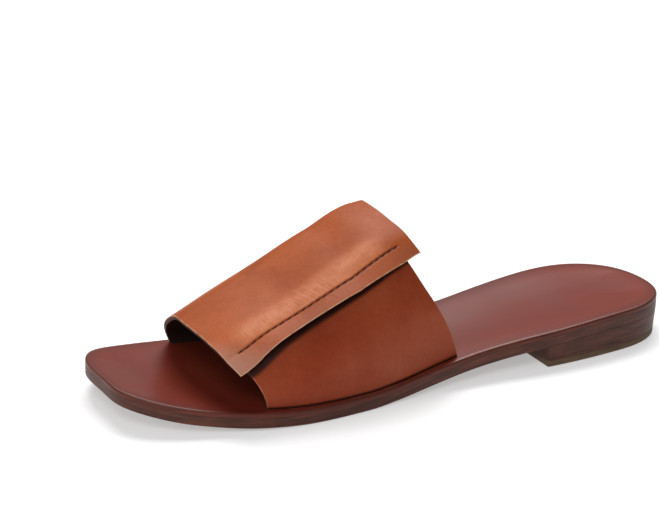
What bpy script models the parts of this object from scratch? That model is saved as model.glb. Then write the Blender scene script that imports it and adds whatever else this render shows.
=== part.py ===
# Leather slide sandal for the left foot: square toe, stacked low heel, one wide strap in two
# overlapping panels that are stitched together near the outer side of the foot.
# Frame: +X to the toe, +Y to the outer (lateral) side, +Z up, floor at Z = 0.
# The origin lies on the floor under the middle of the sole's length and width.

import math
from collections import namedtuple

import bmesh
import bpy
import numpy as np

for old in list(bpy.data.objects):
    bpy.data.objects.remove(old, do_unlink=True)

MM = 0.001

# Driving sizes
LENGTH = 260 * MM               # heel back to toe tip, along the sole's underside
BALL_WIDTH = 88.6 * MM          # widest part of the sole
HEEL_RISE = 11.4 * MM           # floor to the sole's underside at the back of the heel
TOE_SPRING = 9.0 * MM           # floor to the sole's underside at the toe tip
OUTSOLE_THICK = 4.3 * MM
INSOLE_THICK = 1.85 * MM
TOP_PIECE_THICK = 2.7 * MM      # the layer of the heel that meets the floor
HEEL_LENGTH = 71 * MM           # heel back to the heel's breast
HEEL_TAPER = 0.7 * MM           # how far the heel draws in at the floor
GLUE_GAP = 0.3 * MM             # clearance between pieces that meet

INSTEP_RISE = 61 * MM           # strap's inner ridge over the insole, at its rear edge
STRAP_WALL = 2.0 * MM           # thickness of the strap leather
STRAP_INSET = 3.2 * MM          # strap's outer face to the sole's edge, along the base
INSET_BOW = 1.6 * MM            # the outer base line is straighter than the sole by this much
FLAP_WIDTH = 7.5 * MM           # free edge of the upper panel to its stitch line
FLAP_SKIVE = 0.8 * MM           # how much thinner the flap is at its free edge
FLAP_LIFT = 4.5 * MM            # how far the flap's free edge could stand off the lower panel
REAR_OVERHANG = 6.0 * MM        # upper panel past the lower one, at the rear edge
FRONT_OVERHANG = 4.3 * MM       # upper panel past the lower one, at the front edge
PANEL_FADE = 14.0 * MM          # from the stitch line to where the hidden panel has ended

# Mesh fineness
SPLINE_STEPS = 24               # points per row of the outline's table
GIRTH_SAMPLES = 401             # points along a strap section when its girth is measured
POINTS_ALONG = 44               # points along each side of the sole
HEEL_POINTS = 20                # points along each side of the heel
STATIONS = 21                   # strap sections from its rear edge to its front edge
FLAP_COLUMNS = 4                # strap columns under the free flap
LOWER_COLUMNS = 11              # from the outer base to the flap's edge
FADE_COLUMNS = 5                # across the hidden end of the lower panel
UPPER_COLUMNS = 24              # from there to the inner base
NORMAL_STEP = 0.002             # turn and front either side of a point where its normal is taken
SAME_PLACE = 0.01 * MM          # points closer than this are one
SHARP_ANGLE = math.radians(35)

# Sole outline, heel back round the outer side to the toe and back along the inner side.
# along: share of LENGTH from the heel; across: share of half of BALL_WIDTH, outer side positive
OutlineRow = namedtuple("OutlineRow", "along across")
OUTLINE = [
    OutlineRow(0.000, -0.10), OutlineRow(0.010, 0.26), OutlineRow(0.052, 0.52),
    OutlineRow(0.145, 0.68), OutlineRow(0.265, 0.745), OutlineRow(0.395, 0.745),
    OutlineRow(0.525, 0.85), OutlineRow(0.655, 0.97), OutlineRow(0.775, 0.985),
    OutlineRow(0.876, 0.85), OutlineRow(0.960, 0.61), OutlineRow(0.996, 0.34),
    OutlineRow(1.000, 0.00), OutlineRow(0.999, -0.37), OutlineRow(0.972, -0.70),
    OutlineRow(0.895, -0.92), OutlineRow(0.796, -1.00), OutlineRow(0.675, -0.95),
    OutlineRow(0.545, -0.745), OutlineRow(0.410, -0.54), OutlineRow(0.285, -0.63),
    OutlineRow(0.165, -0.75), OutlineRow(0.072, -0.71), OutlineRow(0.019, -0.47),
]

# Underside of the sole from the side.
# along: share of LENGTH; heel: share of HEEL_RISE; toe: share of TOE_SPRING
ProfileRow = namedtuple("ProfileRow", "along heel toe")
UNDERSIDE = [
    ProfileRow(0.00, 1.00, 0.00), ProfileRow(0.12, 0.985, 0.00), ProfileRow(0.28, 0.80, 0.00),
    ProfileRow(0.40, 0.54, 0.00), ProfileRow(0.50, 0.26, 0.00), ProfileRow(0.57, 0.075, 0.00),
    ProfileRow(0.62, 0.00, 0.00), ProfileRow(0.70, 0.00, 0.00), ProfileRow(0.80, 0.00, 0.11),
    ProfileRow(0.90, 0.00, 0.43), ProfileRow(1.00, 0.00, 1.00),
]

# Inner sections of the strap, as over a last.
# along: share of LENGTH; rise: share of INSTEP_RISE; ridge: place across, share of half of
# BALL_WIDTH; outer and inner: how square each flank is, 2 being an ellipse
ArchRow = namedtuple("ArchRow", "along rise ridge outer inner")
ARCH = [
    ArchRow(0.40, 0.935, -0.36, 2.5, 2.8), ArchRow(0.47, 0.935, -0.35, 2.6, 2.8),
    ArchRow(0.54, 0.935, -0.33, 2.5, 2.6), ArchRow(0.62, 0.815, -0.31, 2.6, 2.2),
    ArchRow(0.70, 0.65, -0.28, 2.65, 1.9), ArchRow(0.80, 0.46, -0.26, 2.8, 1.45),
    ArchRow(0.88, 0.28, -0.25, 2.7, 1.15),
]

# Edges of the strap seen from above.
# turn: from the outer base (0) over the ridge (0.5) to the inner base (1)
EdgeRow = namedtuple("EdgeRow", "turn rear front")
STRAP_EDGES = [
    EdgeRow(0.00, 0.441, 0.790), EdgeRow(0.20, 0.509, 0.824), EdgeRow(0.35, 0.534, 0.833),
    EdgeRow(0.50, 0.543, 0.838), EdgeRow(0.67, 0.542, 0.834), EdgeRow(1.00, 0.446, 0.800),
]

# The upper panel's free edge.
# front: 0 at the strap's rear edge, 1 at its front edge; girth: share of the arc from the outer
# base to the inner base; lift: share of FLAP_LIFT
FlapRow = namedtuple("FlapRow", "front girth lift")
FLAP = [
    FlapRow(0.00, 0.316, 0.06), FlapRow(0.25, 0.293, 0.50), FlapRow(0.50, 0.273, 0.72),
    FlapRow(0.75, 0.233, 0.74), FlapRow(1.00, 0.146, 0.72),
]
FLAP_CURL = 1.3                 # power of the flap's rise from its stitch line to its edge


def smooth_rows(x, rows, key, value):
    """Value of a column at x: a cubic through the rows that never overshoots them."""
    xs = np.array([getattr(row, key) for row in rows])
    ys = np.array([getattr(row, value) for row in rows])
    step = np.diff(xs)
    slope = np.diff(ys) / step
    tangent = np.zeros(len(xs))
    same_way = slope[:-1] * slope[1:] > 0
    mean = 2 * slope[:-1] * slope[1:] / np.where(same_way, slope[:-1] + slope[1:], 1)
    tangent[1:-1] = np.where(same_way, mean, 0)
    tangent[0] = slope[0]
    tangent[-1] = slope[-1]
    x = np.clip(x, xs[0], xs[-1])
    i = np.clip(np.searchsorted(xs, x, side="right") - 1, 0, len(xs) - 2)
    t = (x - xs[i]) / step[i]
    start = (1 + 2 * t) * (1 - t) ** 2 * ys[i] + t * (1 - t) ** 2 * step[i] * tangent[i]
    end = t * t * (3 - 2 * t) * ys[i + 1] + t * t * (t - 1) * step[i] * tangent[i + 1]
    return start + end


def closed_spline(points, per_span):
    """Smooth closed curve through points: a periodic cubic, even in its second derivative."""
    count = len(points)
    gap = np.linalg.norm(np.roll(points, -1, axis=0) - points, axis=1)
    before = np.roll(gap, 1)
    system = np.zeros((count, count))
    rows = np.arange(count)
    system[rows, rows] = 2 * (gap + before)
    system[rows, (rows + 1) % count] = gap
    system[rows, rows - 1] = before
    ahead = (np.roll(points, -1, axis=0) - points) / gap[:, None]
    behind = np.roll(ahead, 1, axis=0)
    bend = np.linalg.solve(system, 6 * (ahead - behind))
    t = np.arange(per_span) / per_span
    h = gap[:, None, None]
    p0 = points[:, None, :]
    p1 = np.roll(points, -1, axis=0)[:, None, :]
    m0 = bend[:, None, :]
    m1 = np.roll(bend, -1, axis=0)[:, None, :]
    u = t[None, :, None]
    curve = (1 - u) * p0 + u * p1
    curve = curve + h * h / 6 * (((1 - u) ** 3 - (1 - u)) * m0 + (u ** 3 - u) * m1)
    return curve.reshape(-1, 2)


def sole_outline():
    """Outline in metres, fitted exactly to LENGTH and BALL_WIDTH, with the heel back first."""
    rows = np.array([(row.along, row.across) for row in OUTLINE])
    aspect = np.array([LENGTH, BALL_WIDTH / 2])
    curve = closed_spline(rows * aspect, SPLINE_STEPS)
    low = curve.min(axis=0)
    high = curve.max(axis=0)
    share = (curve - low) / (high - low)
    curve = (share - 0.5) * np.array([LENGTH, BALL_WIDTH])
    return np.roll(curve, -int(curve[:, 0].argmin()), axis=0)


OUTLINE_CURVE = sole_outline()
TOE_INDEX = int(OUTLINE_CURVE[:, 0].argmax())
OUTER_SIDE = OUTLINE_CURVE[:TOE_INDEX + 1]
INNER_SIDE = np.vstack([OUTLINE_CURVE[TOE_INDEX:], OUTLINE_CURVE[:1]])[::-1]


def even_points(chain, count):
    """Points evenly spaced along a chain, its two ends kept."""
    run = np.r_[0, np.cumsum(np.linalg.norm(np.diff(chain, axis=0), axis=1))]
    where = np.linspace(0, run[-1], count)
    return np.stack([np.interp(where, run, chain[:, k]) for k in range(chain.shape[1])], axis=1)


def side_width(x, side):
    """Y of the outline at x, on the side given."""
    return np.interp(x, side[:, 0], side[:, 1])


def share_along(x):
    return x / LENGTH + 0.5


def underside(x):
    """Height of the sole's underside over the floor at x."""
    along = share_along(x)
    heel = smooth_rows(along, UNDERSIDE, "along", "heel")
    toe = smooth_rows(along, UNDERSIDE, "along", "toe")
    return heel * HEEL_RISE + toe * TOE_SPRING


def on_sole(x, y, height):
    """Point at x, y on a layer that follows the underside, height above it; its edge is upright."""
    return np.stack([x, y + 0 * x, underside(x) + height], axis=-1)


def leather(name, colour, roughness):
    """Principled leather with the piece's colour, as linear red, green and blue."""
    material = bpy.data.materials.new(name)
    material.use_nodes = True
    shader = material.node_tree.nodes["Principled BSDF"]
    shader.inputs["Base Color"].default_value = (*colour, 1)
    shader.inputs["Roughness"].default_value = roughness
    shader.inputs["Metallic"].default_value = 0
    material.diffuse_color = (*colour, 1)
    return material


def add_piece(name, points, faces, material):
    """Object from points and faces, with its doubles merged and its faces turned outwards."""
    mesh = bpy.data.meshes.new(name)
    mesh.from_pydata([tuple(p) for p in points], [], faces)
    shape = bmesh.new()
    shape.from_mesh(mesh)
    bmesh.ops.remove_doubles(shape, verts=shape.verts, dist=SAME_PLACE)
    bmesh.ops.recalc_face_normals(shape, faces=shape.faces)
    shape.to_mesh(mesh)
    shape.free()
    mesh.shade_smooth()
    mesh.set_sharp_from_angle(angle=SHARP_ANGLE)
    piece = bpy.data.objects.new(name, mesh)
    piece.data.materials.append(material)
    bpy.context.scene.collection.objects.link(piece)
    return piece


def ladder(name, outer, inner, bottom, top, material):
    """Plate between two sides that share their end points or face each other across a straight end.

    outer and inner are rows of x, y. bottom and top turn x, y into points in space. Where the sides
    share an end point, its doubles are merged and the faces that shrink to nothing are left out.
    """
    count = len(outer)
    points = np.vstack([bottom(outer), bottom(inner), top(outer), top(inner)])
    outer_low = np.arange(count)
    inner_low = outer_low + count
    outer_high = outer_low + 2 * count
    inner_high = outer_low + 3 * count
    faces = []
    for i in range(count - 1):
        j = i + 1
        faces.append((outer_high[i], outer_high[j], inner_high[j], inner_high[i]))
        faces.append((outer_low[i], inner_low[i], inner_low[j], outer_low[j]))
        faces.append((outer_low[i], outer_low[j], outer_high[j], outer_high[i]))
        faces.append((inner_low[j], inner_low[i], inner_high[i], inner_high[j]))
    for end in (0, count - 1):
        faces.append((outer_low[end], outer_high[end], inner_high[end], inner_low[end]))
    proper = []
    for face in faces:
        corners = {tuple(np.round(points[index] / SAME_PLACE)): int(index) for index in face}
        if len(corners) > 2:
            proper.append(tuple(corners.values()))
    return add_piece(name, points, proper, material)


def sole_layer(height):
    """Layer of the sole at a height over its underside."""
    def at_height(plan):
        return on_sole(plan[:, 0], plan[:, 1], height)
    return at_height


def floor_layer(height, draw_in):
    """Flat layer at a height over the floor, drawn in from the outline all round but the breast."""
    def at_height(plan):
        breast = -LENGTH / 2 + HEEL_LENGTH
        middle = (OUTER_SIDE[0, 1] + side_width(breast, OUTER_SIDE) + side_width(breast, INNER_SIDE)) / 3
        away = plan - np.array([breast, middle])
        reach = np.linalg.norm(away, axis=1).max()
        moved = plan - away / reach * draw_in
        return np.column_stack([moved, np.full(len(plan), height)])
    return at_height


def heel_top(plan):
    """Top of the heel stack, which follows the sole's underside with the glue gap between."""
    return np.column_stack([plan, underside(plan[:, 0]) - GLUE_GAP])


def heel_side(side):
    """The part of a side behind the breast, ending exactly on it."""
    breast = -LENGTH / 2 + HEEL_LENGTH
    behind = side[side[:, 0] < breast]
    corner = np.array([[breast, side_width(breast, side)]])
    return even_points(np.vstack([behind, corner]), HEEL_POINTS)


SOLE_THICK = OUTSOLE_THICK + GLUE_GAP + INSOLE_THICK


def arch_point(turn, x):
    """Inner face of the strap at a turn round the foot and a place x along it.

    Each flank is a quarter of a superellipse from the base line to the ridge.
    """
    along = share_along(x)
    rise = smooth_rows(along, ARCH, "along", "rise") * INSTEP_RISE
    ridge = smooth_rows(along, ARCH, "along", "ridge") * BALL_WIDTH / 2
    outer_power = smooth_rows(along, ARCH, "along", "outer")
    inner_power = smooth_rows(along, ARCH, "along", "inner")
    rear = smooth_rows(0.0, STRAP_EDGES, "turn", "rear")
    front = smooth_rows(0.0, STRAP_EDGES, "turn", "front")
    place = np.clip((along - rear) / (front - rear), 0, 1)
    bow = INSET_BOW * ((2 * place - 1) ** 2 - 0.5)
    outer_base = side_width(x, OUTER_SIDE) - STRAP_INSET - STRAP_WALL - bow
    inner_base = side_width(x, INNER_SIDE) + STRAP_INSET + STRAP_WALL
    cosine = np.cos(math.pi * turn)
    sine = np.sin(math.pi * turn)
    on_outer = cosine > 0
    power = np.where(on_outer, outer_power, inner_power)
    base = np.where(on_outer, outer_base, inner_base)
    y = ridge + (base - ridge) * np.abs(cosine) ** (2 / power)
    lift = rise * np.clip(sine, 0, 1) ** (2 / power)
    seat = on_sole(x, y, SOLE_THICK)
    seat[..., 2] += lift
    return seat


def strap_x(turn, front, overhang):
    """Place along the foot, from the rear edge (front 0) to the front edge (front 1)."""
    rear_edge = (smooth_rows(turn, STRAP_EDGES, "turn", "rear") - 0.5) * LENGTH
    front_edge = (smooth_rows(turn, STRAP_EDGES, "turn", "front") - 0.5) * LENGTH
    rear_edge = rear_edge - overhang * REAR_OVERHANG
    front_edge = front_edge + overhang * FRONT_OVERHANG
    return rear_edge + (front_edge - rear_edge) * front


def section_run(front):
    """Turns round one strap section, and the arc length from the outer base to each of them."""
    turn = np.linspace(0, 1, GIRTH_SAMPLES)
    line = arch_point(turn, strap_x(turn, front, 0.0))
    return turn, np.r_[0, np.cumsum(np.linalg.norm(np.diff(line, axis=0), axis=1))]


def strap_grid(overhang, offset):
    """Points of one face of the strap: columns round the foot by stations along it.

    overhang: per column, 0 where the face ends with the lower panel, 1 with the upper one.
    offset: per column and station, distance from the inner face along its normal.
    """
    fronts = np.linspace(0, 1, STATIONS)
    front = np.broadcast_to(fronts, STRAP_TURNS.shape)
    over = np.broadcast_to(overhang[:, None], STRAP_TURNS.shape)
    face = arch_point(STRAP_TURNS, strap_x(STRAP_TURNS, front, over))
    turn_low = np.clip(STRAP_TURNS - NORMAL_STEP, 0, 1)
    turn_high = np.clip(STRAP_TURNS + NORMAL_STEP, 0, 1)
    round_foot = arch_point(turn_high, strap_x(turn_high, front, over))
    round_foot = round_foot - arch_point(turn_low, strap_x(turn_low, front, over))
    along_foot = arch_point(STRAP_TURNS, strap_x(STRAP_TURNS, front + NORMAL_STEP, over))
    along_foot = along_foot - arch_point(STRAP_TURNS, strap_x(STRAP_TURNS, front - NORMAL_STEP, over))
    normal = np.cross(round_foot, along_foot)
    normal[0, :, 2] = 0
    normal[-1, :, 2] = 0
    normal = normal / np.linalg.norm(normal, axis=-1, keepdims=True)
    return face + normal * offset[..., None]


def column_turns(front):
    """Turns at which the strap's columns lie, at one station."""
    turn, run = section_run(front)
    edge = smooth_rows(front, FLAP, "front", "girth")
    root = edge + FLAP_WIDTH / run[-1]
    fade = root + PANEL_FADE / run[-1]
    lower = np.linspace(0, edge, LOWER_COLUMNS + 1)
    flap = np.linspace(edge, root, FLAP_COLUMNS + 1)[1:]
    faded = np.linspace(root, fade, FADE_COLUMNS + 1)[1:]
    rest = np.linspace(fade, 1, UPPER_COLUMNS + 1)[1:]
    return np.interp(np.concatenate([lower, flap, faded, rest]) * run[-1], run, turn)


EDGE_COLUMN = LOWER_COLUMNS
ROOT_COLUMN = LOWER_COLUMNS + FLAP_COLUMNS
FADE_COLUMN = ROOT_COLUMN + FADE_COLUMNS
LAST_COLUMN = FADE_COLUMN + UPPER_COLUMNS
STRAP_TURNS = np.stack([column_turns(front) for front in np.linspace(0, 1, STATIONS)], axis=1)


def strap_faces():
    """The strap's four faces: inner, lower panel's outer, flap's inner, and outer skin."""
    column = np.arange(LAST_COLUMN + 1)
    fronts = np.linspace(0, 1, STATIONS)
    lift = smooth_rows(fronts, FLAP, "front", "lift") * FLAP_LIFT
    free = np.clip((ROOT_COLUMN - column) / FLAP_COLUMNS, 0, 1)
    stand_off = free[:, None] ** FLAP_CURL * lift[None, :]
    fade = np.clip((column - ROOT_COLUMN) / FADE_COLUMNS, 0, 1)
    ease = fade * fade * (3 - 2 * fade)
    skin_offset = STRAP_WALL * (2 - ease)[:, None] + stand_off
    flat = np.zeros((len(column), STATIONS))
    inner = strap_grid(ease, flat)
    lower = strap_grid(0.0 * column, flat + STRAP_WALL)
    hollow = STRAP_WALL + stand_off + FLAP_SKIVE * free[:, None] ** 2
    flap_under = strap_grid(np.where(column < ROOT_COLUMN, 1.0, 0.0), flat + hollow)
    skin = strap_grid(np.ones(len(column)), skin_offset)
    return inner, lower, flap_under, skin


INNER, LOWER, UNDER, SKIN, LEGS = range(5)      # the sheets of points that the upper is made of


def leg(face, column):
    """A base edge of the strap carried down through the insole to its underside."""
    return face[column] - np.array([0, 0, INSOLE_THICK])


def make_strap(inner, lower, flap_under, skin, material):
    """The upper: one wall over the foot, doubled where its two panels overlap, with a free flap."""
    legs = np.stack([leg(inner, 0), leg(lower, 0), leg(inner, -1), leg(skin, -1)])
    sheets = [inner, lower, flap_under, skin, legs]
    start = np.cumsum([0] + [sheet.shape[0] for sheet in sheets])
    points = np.concatenate([sheet.reshape(-1, 3) for sheet in sheets])

    def at(sheet, column, station):
        return int((start[sheet] + column) * STATIONS + station)

    loop = [(LEGS, 0)]
    loop += [(INNER, i) for i in range(LAST_COLUMN + 1)]
    loop += [(LEGS, 2), (LEGS, 3)]
    loop += [(SKIN, i) for i in range(LAST_COLUMN, EDGE_COLUMN - 1, -1)]
    loop += [(UNDER, i) for i in range(EDGE_COLUMN, ROOT_COLUMN)]
    loop += [(LOWER, i) for i in range(ROOT_COLUMN, -1, -1)]
    loop += [(LEGS, 1)]
    faces = []
    for (sheet_a, a), (sheet_b, b) in zip(loop, loop[1:] + loop[:1]):
        for j in range(STATIONS - 1):
            near = [at(sheet_a, a, j), at(sheet_b, b, j)]
            far = [at(sheet_b, b, j + 1), at(sheet_a, a, j + 1)]
            faces.append((*near, *far))

    def cap(station):
        """Faces that close the wall at a station: both legs, the wall, the flap, the joined panels."""
        quads = [(LEGS, 0, INNER, 0, LOWER, 0, LEGS, 1)]
        quads.append((LEGS, 3, SKIN, LAST_COLUMN, INNER, LAST_COLUMN, LEGS, 2))
        quads += [(INNER, i, INNER, i + 1, LOWER, i + 1, LOWER, i) for i in range(ROOT_COLUMN)]
        last = ROOT_COLUMN - 1
        after = ROOT_COLUMN + 1
        quads += [(UNDER, i, UNDER, i + 1, SKIN, i + 1, SKIN, i) for i in range(EDGE_COLUMN, last)]
        quads.append((UNDER, last, LOWER, ROOT_COLUMN, SKIN, ROOT_COLUMN, SKIN, last))
        quads.append((INNER, ROOT_COLUMN, INNER, after, SKIN, after, LOWER, ROOT_COLUMN))
        quads.append((LOWER, ROOT_COLUMN, SKIN, after, SKIN, ROOT_COLUMN))
        quads += [(INNER, i, INNER, i + 1, SKIN, i + 1, SKIN, i) for i in range(after, LAST_COLUMN)]
        return [tuple(at(sheet, i, station) for sheet, i in zip(quad[::2], quad[1::2])) for quad in quads]

    faces += [face[::-1] for face in cap(0)] + cap(STATIONS - 1)
    used = sorted({index for face in faces for index in face})
    renumber = {old: new for new, old in enumerate(used)}
    faces = [tuple(renumber[index] for index in face) for face in faces]
    return add_piece("upper", points[used], faces, material)


def slot_cutter(name, inner_edge, outer_edge, material):
    """Closed strip round one leg of the strap, GLUE_GAP clear of it on every side."""
    across = outer_edge - inner_edge
    across[:, 2] = 0
    across = across / np.linalg.norm(across, axis=1, keepdims=True)
    near = inner_edge - across * GLUE_GAP
    far = outer_edge + across * GLUE_GAP

    def with_ends(edge):
        before = edge[0] + (edge[0] - edge[1]) / np.linalg.norm(edge[0] - edge[1]) * GLUE_GAP
        after = edge[-1] + (edge[-1] - edge[-2]) / np.linalg.norm(edge[-1] - edge[-2]) * GLUE_GAP
        return np.vstack([before, edge, after])

    near = with_ends(near)
    far = with_ends(far)
    margin = np.array([0, 0, 2 * INSOLE_THICK])
    low_near = near - margin
    low_far = far - margin
    high_near = near + margin
    high_far = far + margin
    count = len(near)
    points = np.vstack([low_near, low_far, high_near, high_far])
    faces = []
    for i in range(count - 1):
        j = i + 1
        for a, b in ((0, 1), (1, 3), (3, 2), (2, 0)):
            faces.append((a * count + i, a * count + j, b * count + j, b * count + i))
    for end in (0, count - 1):
        faces.append((end, count + end, 3 * count + end, 2 * count + end))
    cutter = add_piece(name, points, faces, material)
    cutter.hide_render = True
    cutter.display_type = "WIRE"
    return cutter


def cut(piece, cutter):
    """Take the cutter's space out of the piece."""
    modifier = piece.modifiers.new("slot", "BOOLEAN")
    modifier.operation = "DIFFERENCE"
    modifier.solver = "EXACT"
    modifier.object = cutter


TAN = leather("cognac calf leather", (0.42, 0.13, 0.045), 0.42)
FOOTBED = leather("polished insole leather", (0.19, 0.055, 0.035), 0.35)
SOLE_EDGE = leather("dark stained sole leather", (0.075, 0.032, 0.024), 0.5)
TOP_RUBBER = leather("olive brown heel rubber", (0.10, 0.07, 0.04), 0.7)

outer_points = even_points(OUTER_SIDE, POINTS_ALONG)
inner_points = even_points(INNER_SIDE, POINTS_ALONG)
outsole = ladder("outsole", outer_points, inner_points, sole_layer(0), sole_layer(OUTSOLE_THICK), SOLE_EDGE)
insole = ladder("insole", outer_points, inner_points, sole_layer(OUTSOLE_THICK + GLUE_GAP),
                sole_layer(SOLE_THICK), FOOTBED)

heel_outer = heel_side(OUTER_SIDE)
heel_inner = heel_side(INNER_SIDE)
heel_lift = ladder("heel_lift", heel_outer, heel_inner,
                   floor_layer(TOP_PIECE_THICK + GLUE_GAP, HEEL_TAPER), heel_top, SOLE_EDGE)
heel_top_piece = ladder("heel_top_piece", heel_outer, heel_inner,
                        floor_layer(0, HEEL_TAPER), floor_layer(TOP_PIECE_THICK, HEEL_TAPER), TOP_RUBBER)

inner_face, lower_face, flap_under_face, skin_face = strap_faces()
upper = make_strap(inner_face, lower_face, flap_under_face, skin_face, TAN)
cut(insole, slot_cutter("outer_slot", inner_face[0], lower_face[0], FOOTBED))
cut(insole, slot_cutter("inner_slot", inner_face[-1], skin_face[-1], FOOTBED))
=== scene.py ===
import math
from collections import namedtuple
from functools import partial

import bmesh
import bpy
import numpy as np
from mathutils import Matrix


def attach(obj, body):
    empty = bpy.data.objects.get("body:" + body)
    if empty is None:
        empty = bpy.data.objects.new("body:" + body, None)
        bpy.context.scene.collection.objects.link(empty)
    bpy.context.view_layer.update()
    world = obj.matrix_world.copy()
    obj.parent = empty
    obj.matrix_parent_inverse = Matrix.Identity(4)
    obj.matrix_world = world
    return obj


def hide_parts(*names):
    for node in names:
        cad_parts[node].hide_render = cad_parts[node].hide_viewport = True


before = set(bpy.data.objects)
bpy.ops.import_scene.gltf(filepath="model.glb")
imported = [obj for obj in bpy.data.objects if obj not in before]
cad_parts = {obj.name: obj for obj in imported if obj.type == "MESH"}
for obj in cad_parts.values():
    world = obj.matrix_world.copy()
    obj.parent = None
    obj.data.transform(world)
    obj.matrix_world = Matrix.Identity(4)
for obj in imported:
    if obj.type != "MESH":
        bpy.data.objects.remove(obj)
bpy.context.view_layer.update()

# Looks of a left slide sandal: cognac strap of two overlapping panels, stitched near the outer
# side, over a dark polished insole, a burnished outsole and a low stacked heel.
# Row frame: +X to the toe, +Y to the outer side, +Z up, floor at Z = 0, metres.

MM = 0.001
HARD_EDGE = math.radians(50)  # sharper folds are shaded as an edge
WELD = 0.004 * MM


def table(columns, rows):
    """Rows with named columns."""
    return [namedtuple("Row", columns)(*row) for row in rows]


# The shoe's own sizes
LENGTH = 260 * MM
BALL_WIDTH = 88.6 * MM
HEEL_RISE = 11.4 * MM
TOE_SPRING = 9.0 * MM
OUTSOLE_THICK = 4.3 * MM
INSOLE_THICK = 1.85 * MM
TOP_PIECE_THICK = 2.7 * MM
HEEL_LENGTH = 71 * MM
HEEL_TAPER = 0.7 * MM
GLUE_GAP = 0.3 * MM
SOLE_THICK = OUTSOLE_THICK + GLUE_GAP + INSOLE_THICK
INSTEP_RISE = 61 * MM
STRAP_WALL = 2.0 * MM
STRAP_INSET = 3.2 * MM
INSET_BOW = 1.6 * MM
FLAP_WIDTH = 7.5 * MM
FLAP_SKIVE = 0.8 * MM
FLAP_LIFT = 4.5 * MM
REAR_OVERHANG = 6.0 * MM
FRONT_OVERHANG = 4.3 * MM
PANEL_FADE = 14.0 * MM
FLAP_CURL = 1.3
SPLINE_STEPS = 24
GIRTH_SAMPLES = 801

OUTLINE = table("along across", [
    (0.000, -0.10), (0.010, 0.26), (0.052, 0.52), (0.145, 0.68), (0.265, 0.745), (0.395, 0.745),
    (0.525, 0.85), (0.655, 0.97), (0.775, 0.985), (0.876, 0.85), (0.960, 0.61), (0.996, 0.34),
    (1.000, 0.00), (0.999, -0.37), (0.972, -0.70), (0.895, -0.92), (0.796, -1.00), (0.675, -0.95),
    (0.545, -0.745), (0.410, -0.54), (0.285, -0.63), (0.165, -0.75), (0.072, -0.71),
    (0.019, -0.47),
])

UNDERSIDE = table("along heel toe", [
    (0.00, 1.00, 0.00), (0.12, 0.985, 0.00), (0.28, 0.80, 0.00), (0.40, 0.54, 0.00),
    (0.50, 0.26, 0.00), (0.57, 0.075, 0.00), (0.62, 0.00, 0.00), (0.70, 0.00, 0.00),
    (0.80, 0.00, 0.11), (0.90, 0.00, 0.43), (1.00, 0.00, 1.00),
])

ARCH = table("along rise ridge outer inner", [
    (0.40, 0.935, -0.36, 2.5, 2.8), (0.47, 0.935, -0.35, 2.6, 2.8), (0.54, 0.935, -0.33, 2.5, 2.6),
    (0.62, 0.815, -0.31, 2.6, 2.2), (0.70, 0.65, -0.28, 2.65, 1.9), (0.80, 0.46, -0.26, 2.8, 1.45),
    (0.88, 0.28, -0.25, 2.7, 1.15),
])

STRAP_EDGES = table("turn rear front", [
    (0.00, 0.441, 0.790), (0.20, 0.509, 0.824), (0.35, 0.534, 0.833), (0.50, 0.543, 0.838),
    (0.67, 0.542, 0.834), (1.00, 0.446, 0.800),
])

FLAP = table("front girth lift", [
    (0.00, 0.316, 0.06), (0.25, 0.293, 0.50), (0.50, 0.273, 0.72), (0.75, 0.233, 0.74),
    (1.00, 0.146, 0.72),
])


def smooth_rows(x, rows, column):
    """Value of a column at x, along the first one: a cubic through the rows, never beyond them."""
    xs = np.array([row[0] for row in rows])
    ys = np.array([getattr(row, column) for row in rows])
    step = np.diff(xs)
    slope = np.diff(ys) / step
    tangent = np.zeros(len(xs))
    same_way = slope[:-1] * slope[1:] > 0
    mean = 2 * slope[:-1] * slope[1:] / np.where(same_way, slope[:-1] + slope[1:], 1)
    tangent[1:-1] = np.where(same_way, mean, 0)
    tangent[0] = slope[0]
    tangent[-1] = slope[-1]
    x = np.clip(x, xs[0], xs[-1])
    i = np.clip(np.searchsorted(xs, x, side="right") - 1, 0, len(xs) - 2)
    t = (x - xs[i]) / step[i]
    start = (1 + 2 * t) * (1 - t) ** 2 * ys[i] + t * (1 - t) ** 2 * step[i] * tangent[i]
    end = t * t * (3 - 2 * t) * ys[i + 1] + t * t * (t - 1) * step[i] * tangent[i + 1]
    return start + end


def closed_spline(points, per_span):
    """Smooth closed curve through points: a periodic cubic, even in its second derivative."""
    count = len(points)
    gap = np.linalg.norm(np.roll(points, -1, axis=0) - points, axis=1)
    before = np.roll(gap, 1)
    system = np.zeros((count, count))
    rows = np.arange(count)
    system[rows, rows] = 2 * (gap + before)
    system[rows, (rows + 1) % count] = gap
    system[rows, rows - 1] = before
    ahead = (np.roll(points, -1, axis=0) - points) / gap[:, None]
    behind = np.roll(ahead, 1, axis=0)
    bend = np.linalg.solve(system, 6 * (ahead - behind))
    u = (np.arange(per_span) / per_span)[None, :, None]
    h = gap[:, None, None]
    p0 = points[:, None, :]
    p1 = np.roll(points, -1, axis=0)[:, None, :]
    m0 = bend[:, None, :]
    m1 = np.roll(bend, -1, axis=0)[:, None, :]
    curve = (1 - u) * p0 + u * p1
    curve = curve + h * h / 6 * (((1 - u) ** 3 - (1 - u)) * m0 + (u ** 3 - u) * m1)
    return curve.reshape(-1, 2)


def sole_outline():
    """Outline in metres, fitted exactly to LENGTH and BALL_WIDTH, with the heel back first."""
    rows = np.array([(row.along, row.across) for row in OUTLINE])
    curve = closed_spline(rows * np.array([LENGTH, BALL_WIDTH / 2]), SPLINE_STEPS)
    low = curve.min(axis=0)
    high = curve.max(axis=0)
    curve = ((curve - low) / (high - low) - 0.5) * np.array([LENGTH, BALL_WIDTH])
    return np.roll(curve, -int(curve[:, 0].argmin()), axis=0)


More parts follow.
